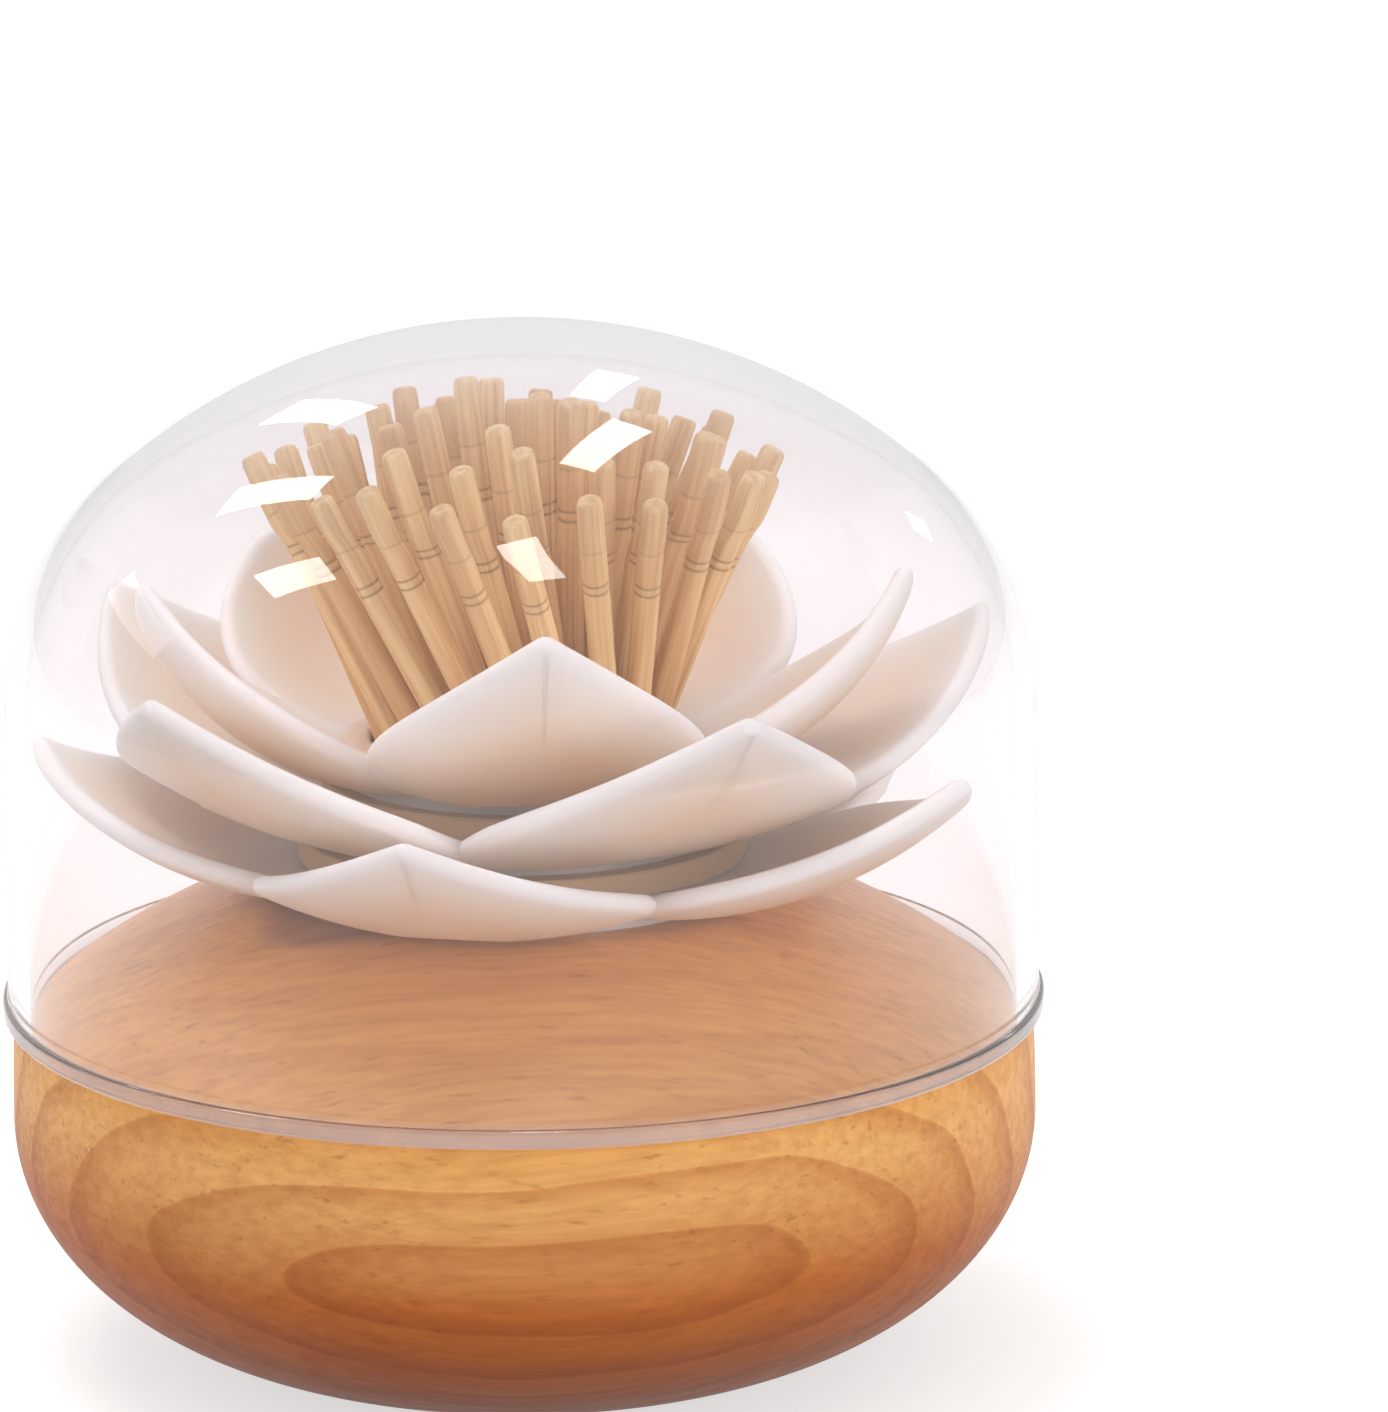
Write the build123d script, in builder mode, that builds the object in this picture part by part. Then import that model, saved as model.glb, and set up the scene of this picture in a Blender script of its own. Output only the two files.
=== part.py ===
from build123d import *
import os
from math import asin, atan2, cos, degrees, hypot, pi, radians, sin, sqrt, tan

# Lotus toothpick holder: a turned wooden base, three five-petal mouldings stacked on
# wooden spacer rings round a pick cup, a fanned bundle of toothpicks, and a clear dome
# that lifts off. Millimetres, +Z up, origin on the table at the middle of the foot.

os.makedirs("parts", exist_ok=True)

# ---------------------------------------------------------------- driving dimensions

# Wooden base
base_diameter = 98.6          # widest turn of the wood
ledge_height = 34.5           # table to the ledge that carries the dome
equator_height = 24.0         # table to the widest turn
foot_diameter = 35.0          # flat of the wood at the bottom
ledge_diameter = 98.0         # outer edge of the ledge
ledge_edge_round = 0.8
crown_radius = 80.0           # radius of the wooden top, seen from the side
seat_rise = 12.3              # ledge to the flat that carries the flower
shoulder_height = 0.8         # upright part that centres the dome

# Anti-slip pad under the base
pad_diameter = 30.0
pad_thickness = 1.8
pad_proud = 0.6               # how far the pad stands below the wood
pad_edge_round = 0.3
pad_clearance = 0.2

# Clear dome
dome_diameter = 100.0         # over the lip
dome_wall = 2.0
dome_crown_wall = 3.0
lip_height = 1.8
lip_overhang = 0.5            # lip beyond the wall
lip_edge_round = 0.45
dome_side_height = 29.4       # rim to the spring of the shoulder
dome_shoulder_round = 29.3
dome_height = 65.4            # rim to the top
dome_draft = 0.8              # degrees
dome_clearance = 0.35         # dome to the shoulder of the base

# Pick cup
cup_bore = 28.6
cup_wall = 1.1
cup_flange_diameter = 34.0
cup_flange_thickness = 1.3
cup_flange_round = 0.585
cup_floor_thickness = 5.0
cup_clearance = 0.25          # cup to the bores it passes through
cup_floor_depth = 6.5         # cup floor below the ledge
cup_end_gap = 0.4             # cup end to the bottom of its bore

# Cup screw and washer
screw_diameter = 4.0
screw_head_diameter = 7.6
screw_head_height = 2.6
screw_head_round = 0.65
screw_socket_size = 2.5
screw_socket_depth = 1.4
screw_grip = 8.0              # wood between the washer and the cup bore
screw_bite = 4.0              # thread inside the cup floor
screw_clearance = 0.3         # washer and shank to the wood
screw_fit = 0.05              # shank to the washer and the cup
washer_diameter = 11.0
washer_thickness = 1.0

# Petal tiers
petals_per_tier = 5
petal_thickness = 1.9
hub_thickness = 2.5
bowl_sink = 1.0               # bowl's lowest line below the top of the hub
shoulder_reach = 8.0          # how far a petal stays wide past its shoulder
tip_reach = 6.5               # how far it runs straight to its tip
tip_half_angle = 66.0
tip_round = 1.6
rim_round = 0.7
spacer_thickness = 2.6
spacer_lip_clearance = 0.3    # spacer to the seat sunk in the tier below it

lower_tip_radius = 45.8
lower_tip_rise = 15.5         # tip above the underside of the hub
lower_bowl_start = 18.0       # radius where the bowl starts to rise
lower_half_width = 18.2
lower_shoulder = 10.5         # along the chord, where the petal is widest
lower_cup_radius = 48.0       # radius across the petal
lower_turn = -103.0           # azimuth of the front petal, degrees
lower_spacer_diameter = 43.0

middle_tip_radius = 45.2
middle_tip_rise = 20.3
middle_bowl_start = 10.5
middle_half_width = 19.0
middle_shoulder = 16.9
middle_cup_radius = 80.0
middle_turn = -64.0
middle_spacer_diameter = 38.0

inner_tip_radius = 36.0
inner_tip_rise = 21.6
inner_bowl_start = 11.0
inner_half_width = 15.0
inner_shoulder = 11.5
inner_cup_radius = 34.0
inner_turn = -86.5

# Toothpicks
pick_diameter = 2.3
pick_length = 65.0
pick_taper = 10.0
pick_point_diameter = 0.5
pick_end_chamfer = 0.3
pick_foot_gap = 0.25          # point of a pick above the cup floor
pick_spacing = 0.04           # least air between neighbours in a ring
pick_wall_gap = 0.3           # outer picks to the cup's bore
pick_stagger = 3.0            # how much higher some picks stand, wedged by their neighbours
outer_ring = 4                # rings of picks round the one in the middle
ring_pitch = 2.42             # ring to ring at the waist of the bundle

# ---------------------------------------------------------------- worked-out levels

equator_radius = base_diameter / 2
ledge_radius = ledge_diameter / 2
foot_radius = foot_diameter / 2
wood_bottom = pad_proud
pad_recess_level = wood_bottom + pad_thickness - pad_proud
seat_level = ledge_height + seat_rise

dome_wall_radius = dome_diameter / 2 - lip_overhang
dome_spring_radius = dome_wall_radius - dome_side_height * tan(radians(dome_draft))
dome_spring_level = ledge_height + dome_side_height
shoulder_radius = dome_wall_radius - dome_wall - dome_clearance
shoulder_level = ledge_height + shoulder_height

cup_radius = cup_bore / 2 + cup_wall
bore_radius = cup_radius + cup_clearance
cup_floor_level = ledge_height - cup_floor_depth
cup_end_level = cup_floor_level - cup_floor_thickness
bore_level = cup_end_level - cup_end_gap

lower_level = seat_level
middle_level = lower_level + hub_thickness + spacer_thickness
inner_level = middle_level + hub_thickness + spacer_thickness
flange_level = inner_level + hub_thickness

washer_level = bore_level - screw_grip
screw_head_level = washer_level - washer_thickness - screw_head_height

half_share = pi / petals_per_tier
golden_step = (sqrt(5) - 1) / 2

# The outer ring of picks leans on the mouth of the cup, and its feet on the far wall, so
# the waist of the bundle is halfway between.
foot_level = cup_floor_level + pick_foot_gap
mouth_level = flange_level + cup_flange_thickness
waist_level = (foot_level + mouth_level) / 2
mouth_reach = cup_bore / 2 - pick_diameter / 2 - pick_wall_gap
outer_lean = sqrt(mouth_reach**2 - (outer_ring * ring_pitch) ** 2) / (mouth_level - waist_level)

# Centre of the sphere that turns the wooden top: it passes through the shoulder.
crown_centre = shoulder_level - sqrt(crown_radius**2 - shoulder_radius**2)
seat_radius = sqrt(crown_radius**2 - (seat_level - crown_centre) ** 2)


# ---------------------------------------------------------------- wooden base

with BuildPart() as base:
    with BuildSketch(Plane.XZ):
        with BuildLine():
            belly = EllipticalCenterArc(
                (foot_radius, equator_height),
                equator_radius - foot_radius,
                equator_height - wood_bottom,
                start_angle=270,
                arc_size=90,
            )
            waist = ThreePointArc(
                belly @ 1,
                ((3 * equator_radius + ledge_radius) / 4, (equator_height + ledge_height) / 2),
                (ledge_radius, ledge_height),
            )
            ledge = Line(waist @ 1, (shoulder_radius, ledge_height))
            shoulder = Line(ledge @ 1, (shoulder_radius, shoulder_level))
            crown = RadiusArc(shoulder @ 1, (seat_radius, seat_level), -crown_radius)
            seat = Line(crown @ 1, (0, seat_level))
            axis_line = Line(seat @ 1, (0, wood_bottom))
            Line(axis_line @ 1, (foot_radius, wood_bottom))
        make_face()
    revolve(axis=Axis.Z)
    ledge_edge = base.edges().filter_by(GeomType.CIRCLE).filter_by(
        lambda edge: abs(edge.radius - ledge_radius) < 0.01
        and abs(edge.center().Z - ledge_height) < 0.01
    )
    fillet(ledge_edge, radius=ledge_edge_round)

    # Bore for the pick cup, the screw hole below it and the pad recess under the foot.
    with Locations((0, 0, seat_level)):
        Hole(bore_radius, depth=seat_level - bore_level)
    with Locations((0, 0, bore_level)):
        Hole(screw_diameter / 2 + screw_clearance)
    with BuildSketch(Plane.XY.offset(wood_bottom)):
        Circle(pad_diameter / 2 + pad_clearance)
    extrude(amount=pad_recess_level - wood_bottom, mode=Mode.SUBTRACT)
    with BuildSketch(Plane.XY.offset(wood_bottom)):
        Circle(washer_diameter / 2 + screw_clearance)
    extrude(amount=washer_level - wood_bottom, mode=Mode.SUBTRACT)

base.part.label = "base"
export_step(base.part, "parts/base.step")


# ---------------------------------------------------------------- anti-slip pad

with BuildPart() as base_pad:
    with BuildSketch():
        Circle(pad_diameter / 2)
    extrude(amount=pad_thickness)
    fillet(base_pad.edges().group_by(Axis.Z)[0], radius=pad_edge_round)

base_pad.part.label = "base_pad"
export_step(base_pad.part, "parts/base_pad.step")


# ---------------------------------------------------------------- clear dome


def dome_line(spring_radius, shoulder_round, top_level):
    """Shoulder arc and crown arc from the spring of the dome to its top, tangent throughout."""
    draft = radians(dome_draft)
    shoulder_x = spring_radius - shoulder_round * cos(draft)
    shoulder_z = dome_spring_level - shoulder_round * sin(draft)
    height = top_level - shoulder_z
    crown_round = (shoulder_x**2 + height**2 - shoulder_round**2) / (2 * (height - shoulder_round))
    crown_angle = degrees(atan2(crown_round - height, shoulder_x))
    CenterArc((shoulder_x, shoulder_z), shoulder_round, dome_draft, crown_angle - dome_draft)
    return CenterArc((0, top_level - crown_round), crown_round, crown_angle, 90 - crown_angle)


with BuildPart() as dome:
    with BuildSketch(Plane.XZ) as dome_profile:
        with BuildLine():
            rim = Line((dome_wall_radius - dome_wall, ledge_height), (dome_diameter / 2, ledge_height))
            lip = Line(rim @ 1, (dome_diameter / 2, ledge_height + lip_height))
            lip_top = Line(lip @ 1, (dome_wall_radius, ledge_height + lip_height))
            Line(lip_top @ 1, (dome_spring_radius, dome_spring_level))
            crown_out = dome_line(dome_spring_radius, dome_shoulder_round, ledge_height + dome_height)
            crown_in = dome_line(
                dome_spring_radius - dome_wall,
                dome_shoulder_round - dome_wall,
                ledge_height + dome_height - dome_crown_wall,
            )
            Line(crown_out @ 1, crown_in @ 1)
            Line((dome_spring_radius - dome_wall, dome_spring_level), rim @ 0)
        make_face()
        fillet(dome_profile.vertices().group_by(Axis.X)[-1], radius=lip_edge_round)
    revolve(axis=Axis.Z)

dome.part.label = "dome"
export_step(dome.part, "parts/dome.step")


# ---------------------------------------------------------------- petal tiers


def petal_tier(
    level, tip_radius, tip_rise, bowl_start, half_width, shoulder, cup_across, turn, seat_cut_radius
):
    """One moulding of petals round a flat hub.

    A petal is a band bent twice: across itself with the radius cup_across, and from hub
    to tip by a revolve that starts level at bowl_start. Its pointed outline is cut square
    to the chord, and its share of the circle ends where the next petal begins.
    """
    floor_level = level + hub_thickness - bowl_sink
    run = tip_radius - bowl_start
    rise = level + tip_rise - floor_level
    chord = hypot(run, rise)
    slope = atan2(rise, run)
    bend_radius = chord / (2 * sin(slope))
    bend_axis = (bowl_start, 0, floor_level + bend_radius)
    spread = degrees(asin((half_width + petal_thickness) / cup_across))
    overrun = degrees(petal_thickness / bend_radius)

    with BuildPart() as petal:
        with BuildSketch(Plane(origin=bend_axis, x_dir=(0, 1, 0), z_dir=(1, 0, 0))):
            with BuildLine():
                arc_centre = (0, cup_across - bend_radius)
                inside = CenterArc(arc_centre, cup_across, 270 - spread, 2 * spread)
                outside = CenterArc(arc_centre, cup_across + petal_thickness, 270 - spread, 2 * spread)
                Line(inside @ 0, outside @ 0)
                Line(inside @ 1, outside @ 1)
            make_face()
        revolve(axis=Axis(bend_axis, (0, -1, 0)), revolution_arc=2 * degrees(slope) + 2 * overrun)

        chord_plane = Plane(
            origin=(bowl_start, 0, floor_level),
            x_dir=(cos(slope), 0, sin(slope)),
            z_dir=(-sin(slope), 0, cos(slope)),
        )
        with BuildSketch(chord_plane) as outline:
            with BuildLine():
                side = Line((0, half_width), (shoulder, half_width))
                flank = Bezier(
                    side @ 1,
                    (shoulder + shoulder_reach, half_width),
                    (chord - tip_reach * cos(radians(tip_half_angle)), tip_reach * sin(radians(tip_half_angle))),
                    (chord, 0),
                )
                mirror(side, about=Plane.XZ)
                mirror(flank, about=Plane.XZ)
                Line((0, half_width), (0, -half_width))
            make_face()
            fillet(outline.vertices().sort_by(Axis.X)[-1], radius=tip_round)
        extrude(amount=bend_radius, both=True, mode=Mode.INTERSECT)
        skins = petal.faces().sort_by(SortBy.AREA)[-2:]
        fillet(skins.edges().sort_by(Axis.X)[2:], radius=rim_round)

        beyond = tip_radius + tip_rise
        across = beyond * tan(half_share)
        with BuildSketch(Plane.XY.offset(level)):
            Polygon((0, 0), (beyond, -across), (beyond, across), align=None)
        extrude(amount=beyond, both=True, mode=Mode.INTERSECT)

    with BuildPart() as tier:
        with BuildSketch(Plane.XY.offset(level)):
            Circle(seat_cut_radius)
        extrude(amount=hub_thickness)
        with PolarLocations(0, petals_per_tier, start_angle=turn):
            add(petal.part)
        with BuildSketch(Plane.XY.offset(level)):
            Circle(tip_radius)
        extrude(amount=-hub_thickness, mode=Mode.SUBTRACT)
        with BuildSketch(Plane.XY.offset(level + hub_thickness)):
            Circle(seat_cut_radius)
        extrude(amount=hub_thickness, mode=Mode.SUBTRACT)
        with Locations((0, 0, level)):
            Hole(bore_radius)
    return tier


lower_petals = petal_tier(
    lower_level, lower_tip_radius, lower_tip_rise, lower_bowl_start, lower_half_width,
    lower_shoulder, lower_cup_radius, lower_turn, lower_spacer_diameter / 2 + spacer_lip_clearance,
)
lower_petals.part.label = "lower_petals"
export_step(lower_petals.part, "parts/lower_petals.step")

middle_petals = petal_tier(
    middle_level, middle_tip_radius, middle_tip_rise, middle_bowl_start, middle_half_width,
    middle_shoulder, middle_cup_radius, middle_turn, middle_spacer_diameter / 2 + spacer_lip_clearance,
)
middle_petals.part.label = "middle_petals"
export_step(middle_petals.part, "parts/middle_petals.step")

inner_petals = petal_tier(
    inner_level, inner_tip_radius, inner_tip_rise, inner_bowl_start, inner_half_width,
    inner_shoulder, inner_cup_radius, inner_turn, cup_flange_diameter / 2 + spacer_lip_clearance,
)
inner_petals.part.label = "inner_petals"
export_step(inner_petals.part, "parts/inner_petals.step")


# ---------------------------------------------------------------- spacer rings


def spacer_ring(level, diameter):
    """A flat wooden ring that keeps two tiers apart."""
    with BuildPart() as ring:
        with BuildSketch(Plane.XY.offset(level)):
            Circle(diameter / 2)
            Circle(bore_radius, mode=Mode.SUBTRACT)
        extrude(amount=spacer_thickness)
    return ring


lower_spacer = spacer_ring(lower_level + hub_thickness, lower_spacer_diameter)
lower_spacer.part.label = "lower_spacer"
export_step(lower_spacer.part, "parts/lower_spacer.step")

upper_spacer = spacer_ring(middle_level + hub_thickness, middle_spacer_diameter)
upper_spacer.part.label = "upper_spacer"
export_step(upper_spacer.part, "parts/upper_spacer.step")


# ---------------------------------------------------------------- pick cup

with BuildPart() as pick_cup:
    with BuildSketch(Plane.XZ):
        with BuildLine():
            Polyline(
                (0, cup_end_level),
                (cup_radius, cup_end_level),
                (cup_radius, flange_level),
                (cup_flange_diameter / 2, flange_level),
                (cup_flange_diameter / 2, flange_level + cup_flange_thickness),
                (cup_bore / 2, flange_level + cup_flange_thickness),
                (cup_bore / 2, cup_floor_level),
                (0, cup_floor_level),
                close=True,
            )
        make_face()
    revolve(axis=Axis.Z)
    fillet(pick_cup.edges().group_by(Axis.Z)[-1], radius=cup_flange_round)
    with BuildSketch(Plane.XY.offset(cup_end_level)):
        Circle(screw_diameter / 2 + screw_fit)
    extrude(amount=screw_bite + screw_fit, mode=Mode.SUBTRACT)

pick_cup.part.label = "pick_cup"
export_step(pick_cup.part, "parts/pick_cup.step")


# ---------------------------------------------------------------- screw and washer

with BuildPart() as screw_washer:
    with BuildSketch(Plane.XY.offset(washer_level - washer_thickness)):
        Circle(washer_diameter / 2)
        Circle(screw_diameter / 2 + screw_fit, mode=Mode.SUBTRACT)
    extrude(amount=washer_thickness)

screw_washer.part.label = "screw_washer"
export_step(screw_washer.part, "parts/screw_washer.step")

with BuildPart() as cup_screw:
    with BuildSketch(Plane.XY.offset(screw_head_level)):
        Circle(screw_head_diameter / 2)
    extrude(amount=screw_head_height)
    fillet(cup_screw.edges().group_by(Axis.Z)[0], radius=screw_head_round)
    with BuildSketch(Plane.XY.offset(screw_head_level + screw_head_height)):
        Circle(screw_diameter / 2)
    extrude(amount=cup_end_level + screw_bite - screw_head_level - screw_head_height)
    with BuildSketch(Plane.XY.offset(screw_head_level)):
        RegularPolygon(screw_socket_size / 2, 6, major_radius=False)
    extrude(amount=screw_socket_depth, mode=Mode.SUBTRACT)

cup_screw.part.label = "cup_screw"
export_step(cup_screw.part, "parts/cup_screw.step")


# ---------------------------------------------------------------- toothpicks


def toothpick(ring, azimuth, lift):
    """One pick of a twisted bundle: a ruling of a hyperboloid, pointed end down.

    Ring 0 is the upright one in the middle. The axis passes the waist of the bundle at
    ring * ring_pitch from the middle, and leans out towards its azimuth.
    """
    lean = atan2(outer_lean * ring, outer_ring)
    out = Vector(cos(azimuth), sin(azimuth), 0)
    aside = Vector(-sin(azimuth), cos(azimuth), 0)
    direction = out * sin(lean) + Vector(0, 0, 1) * cos(lean)
    waist = aside * (ring * ring_pitch) + Vector(0, 0, waist_level)
    foot = waist - direction * ((waist_level - foot_level) / cos(lean) - lift)
    with BuildPart() as pick:
        with BuildSketch(Plane(origin=foot, x_dir=aside, z_dir=aside.cross(direction))):
            Polygon(
                (0, 0),
                (pick_point_diameter / 2, 0),
                (pick_diameter / 2, pick_taper),
                (pick_diameter / 2, pick_length - pick_end_chamfer),
                (pick_diameter / 2 - pick_end_chamfer, pick_length),
                (0, pick_length),
                align=None,
            )
        revolve(axis=Axis(foot, direction))
    return pick.part


def ring_count(ring):
    """As many picks as fit round a ring at the waist of the bundle."""
    lean = atan2(outer_lean * ring, outer_ring)
    half_step = asin((pick_diameter + pick_spacing) / (2 * ring * ring_pitch * cos(lean)))
    return int(pi / half_step)


def ring_of_picks(ring):
    """Every pick of one ring, evenly spaced, each wedged a little higher or lower."""
    count = ring_count(ring)
    picks = []
    for index in range(count):
        azimuth = 2 * pi * (index + ring / 2) / count
        lift = pick_stagger * (index * golden_step % 1)
        picks.append(toothpick(ring, azimuth, lift))
    return picks


for ring, ring_name in ((outer_ring, "outer"), (outer_ring - 1, "second")):
    for number, solid in enumerate(ring_of_picks(ring), start=1):
        solid.label = f"toothpick_{ring_name}_{number:02d}"
        export_step(solid, f"parts/{solid.label}.step")

with BuildPart() as toothpicks_third_ring:
    for solid in ring_of_picks(outer_ring - 2):
        add(solid)

toothpicks_third_ring.part.label = "toothpicks_third_ring"
export_step(toothpicks_third_ring.part, "parts/toothpicks_third_ring.step")

with BuildPart() as toothpicks_fourth_ring:
    for solid in ring_of_picks(outer_ring - 3):
        add(solid)

toothpicks_fourth_ring.part.label = "toothpicks_fourth_ring"
export_step(toothpicks_fourth_ring.part, "parts/toothpicks_fourth_ring.step")

toothpick_centre = toothpick(0, 0, 0)
toothpick_centre.label = "toothpick_centre"
export_step(toothpick_centre, "parts/toothpick_centre.step")
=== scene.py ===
from collections import namedtuple
from math import asin, atan2, cos, hypot, pi, radians, sin, sqrt, tan

import bmesh
import bpy
from mathutils import Matrix, Vector


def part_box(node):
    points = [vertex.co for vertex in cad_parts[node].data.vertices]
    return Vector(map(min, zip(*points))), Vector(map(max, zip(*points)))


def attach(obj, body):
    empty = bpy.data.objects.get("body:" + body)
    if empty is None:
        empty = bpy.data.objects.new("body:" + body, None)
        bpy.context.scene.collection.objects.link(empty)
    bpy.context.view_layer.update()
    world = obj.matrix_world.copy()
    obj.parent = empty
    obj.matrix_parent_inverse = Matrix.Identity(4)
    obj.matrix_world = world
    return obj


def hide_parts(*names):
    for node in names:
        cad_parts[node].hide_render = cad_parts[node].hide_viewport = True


bl_info = {
    "name": "Lotus Toothpick Holder",
    "version": (1, 0, 0),
    "blender": (4, 5, 0),
    "location": "3D View > Sidebar > Toothpick Holder",
    "description": "Dresses a lotus toothpick holder: base, petals, picks and dome",
    "category": "Add Mesh",
}

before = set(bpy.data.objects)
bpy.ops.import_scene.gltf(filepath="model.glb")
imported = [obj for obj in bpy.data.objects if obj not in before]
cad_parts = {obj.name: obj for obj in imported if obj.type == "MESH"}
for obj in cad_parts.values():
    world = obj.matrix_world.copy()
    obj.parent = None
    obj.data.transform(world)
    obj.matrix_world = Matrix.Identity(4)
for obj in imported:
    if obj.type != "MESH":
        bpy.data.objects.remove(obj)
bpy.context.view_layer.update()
MM = 0.001
STAND = "stand"
DOME = "dome"


def low(node):
    """Lowest height of a CAD node, in millimetres."""
    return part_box(node)[0][2] / MM


def high(node):
    """Highest height of a CAD node, in millimetres."""
    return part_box(node)[1][2] / MM


def half_width(node):
    """Half the width of a turned CAD node, in millimetres."""
    return (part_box(node)[1][0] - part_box(node)[0][0]) / (2 * MM)


# ------ settings


def number(name, description, value, **kind):
    return bpy.props.FloatProperty(name=name, description=description, default=value, **kind)


def length(name, description, value):
    """A size in millimetres, kept in metres as Blender does."""
    return number(name, description, value * MM, min=0.0, unit="LENGTH", precision=5)


def angle(name, description, value):
    """An angle in degrees, kept in radians as Blender does."""
    return number(name, description, radians(value), subtype="ANGLE")


def power(name, description, value):
    """The power of a lamp, in watts."""
    return number(name, description, value, min=0.0, unit="POWER")


def colour(name, description, value):
    """A colour given as it looks on screen, 0 to 255."""
    linear = [channel / 255 for channel in value]
    linear = [c / 12.92 if c < 0.04045 else ((c + 0.055) / 1.055) ** 2.4 for c in linear]
    return bpy.props.FloatVectorProperty(
        name=name, description=description, default=linear, size=3, subtype="COLOR", min=0.0, max=1.0
    )


class HolderBase(bpy.types.PropertyGroup):
    """Sizes and colours of the turned wooden base."""

    ledge_height: length("Ledge height", "Table to the ledge that carries the dome", 34.5)
    equator_height: length("Equator height", "Table to the widest turn of the wood", 24.0)
    foot_diameter: length("Foot", "Flat of the wood at the bottom", 35.0)
    ledge_diameter: length("Ledge diameter", "Outer edge of the ledge", 98.0)
    ledge_round: length("Ledge round", "Rounding of the ledge's outer edge", 0.8)
    shoulder_diameter: length("Shoulder", "Upright step that centres the dome", 94.3)
    shoulder_height: length("Shoulder height", "Height of that step", 0.8)
    crown_radius: length("Crown radius", "Radius of the wooden top, seen from the side", 80.0)
    bore_diameter: length("Bore", "Bore for the pick cup", 31.3)
    wood_top: colour("Wood of the top", "Honey tone under the dome", (232, 168, 92))
    wood_side: colour("Wood of the side", "Tone just below the ledge", (238, 180, 112))
    # Painted shade: the belly and foot tones darken the wood towards the table, where its underside turns
    # away from the light. The foot tone also colours the flecks.
    belly_shade: colour("Wood of the belly", "Tone halfway down", (184, 96, 32))
    foot_shade_and_flecks: colour("Wood of the foot", "Tone near the table, where the painted_shade gathers", (120, 42, 4))
    # Painted shade: the spacer tone darkens the rings between the tiers, where the tiers shade them.
    spacer_shade: colour("Wood of the spacers", "Walnut-shaded rings between the tiers", (172, 118, 84))
    ring_tone: colour("Ring tone", "What the late wood of a ring multiplies its timber by", (222, 196, 176))
    ring_depth: length("Ring depth", "Width of a growth ring, seen from above", 8.3)
    ring_height: length("Ring height", "Width of a growth ring, seen from the front", 6.2)


class HolderFlower(bpy.types.PropertyGroup):
    """Sizes and colours of the petal tiers and their spacers."""

    petals: bpy.props.IntProperty(name="Petals", description="Petals in each tier", default=5, min=3)
    thickness: length("Thickness", "Thickness of a petal", 1.9)
    hub: length("Hub", "Thickness of the flat hub", 2.5)
    bowl_sink: length("Bowl sink", "Lowest line of the bowl below the hub's top", 1.0)
    root_taper: length("Root taper", "How much each side of a petal narrows to its root", 6.0)
    shoulder_reach: length("Shoulder reach", "How far a petal stays wide past its shoulder", 8.0)
    tip_reach: length("Tip reach", "How far it runs straight to its tip", 6.5)
    tip_angle: angle("Tip angle", "Half the angle of the tip", 66.0)
    tip_round: length("Tip round", "Rounding of the tip", 1.6)
    # Partly painted shade: the petals turn from the whiter rim to a beige heart, and the hollow tone
    # darkens their inner face, where the hollows shade it. The whiter rim is partly the plastic's
    # translucency.
    petal_rim: colour("Petal rim", "Thin, light edge of the petals", (252, 247, 243))
    petal_heart: colour("Petal heart", "Thicker middle of the petals", (239, 218, 198))
    petal_hollow_shade: colour("Petal hollow", "Inside of the petals, where the light gathers", (246, 224, 206))


class HolderPicks(bpy.types.PropertyGroup):
    """Sizes and colours of the toothpicks."""

    diameter: length("Diameter", "Thickness of a toothpick", 2.44)
    pick_length: length("Length", "Length of a toothpick", 65.0)
    taper: length("Taper", "Length of the point", 10.0)
    point: length("Point", "Diameter at the very tip", 0.5)
    groove_depth: length("Groove depth", "Depth of the turned grooves", 0.12)
    stagger: length("Stagger", "How much higher some picks stand", 3.0)
    ring_pitch: length("Ring pitch", "Ring to ring at the waist of the bundle", 2.42)
    pick_pale: colour("Pale pick", "Light birch of the picks", (253, 226, 172))
    # The brown, darkened, also paints the shade in the grooves and on the top.
    pick_brown: colour("Brown streak", "Darker streaks in the picks", (206, 148, 90))


class HolderDome(bpy.types.PropertyGroup):
    """Sizes and colour of the clear dome."""

    wall: length("Wall", "Wall of the dome", 2.0)
    crown_wall: length("Crown wall", "Wall at the top of the dome", 3.0)
    lip_height: length("Lip height", "Height of the lip at the rim", 1.8)
    lip_overhang: length("Lip overhang", "Lip beyond the wall", 0.5)
    side_height: length("Side height", "Rim to the spring of the shoulder", 29.4)
    shoulder_round: length("Shoulder round", "Radius of the dome's shoulder", 29.3)
    draft: angle("Draft", "Lean of the dome's wall", 0.8)
    clear: colour("Clear plastic", "Tint of the clear plastic", (248, 244, 246))


class HolderStage(bpy.types.PropertyGroup):
    """Floor, light and camera."""

    floor_size: length("Floor", "Width of the floor", 6000.0)
    floor_tint: colour("Floor tint", "Colour of the plain floor", (196, 194, 192))
    key_watts: power("Key light", "Power of the key light", 5.6)
    fill_watts: power("Fill light", "Power of the fill light", 1.8)
    top_watts: power("Top light", "Power of the top light", 3.6)
    pane_glow: number("Window panes", "Brightness of the panes mirrored in the dome", 12.0)


# ------ node helpers


def put(tree, kind, inputs=None, **settings):
    """Adds a node; inputs are values or sockets of other nodes."""
    made = tree.nodes.new(kind)
    for key, value in settings.items():
        setattr(made, key, value)
    for key, value in (inputs or {}).items():
        if isinstance(value, bpy.types.NodeSocket):
            tree.links.new(value, made.inputs[key])
        else:
            made.inputs[key].default_value = value
    return made


def maths(tree, operation, *values):
    return put(tree, "ShaderNodeMath", dict(enumerate(values)), operation=operation).outputs[0]


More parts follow.
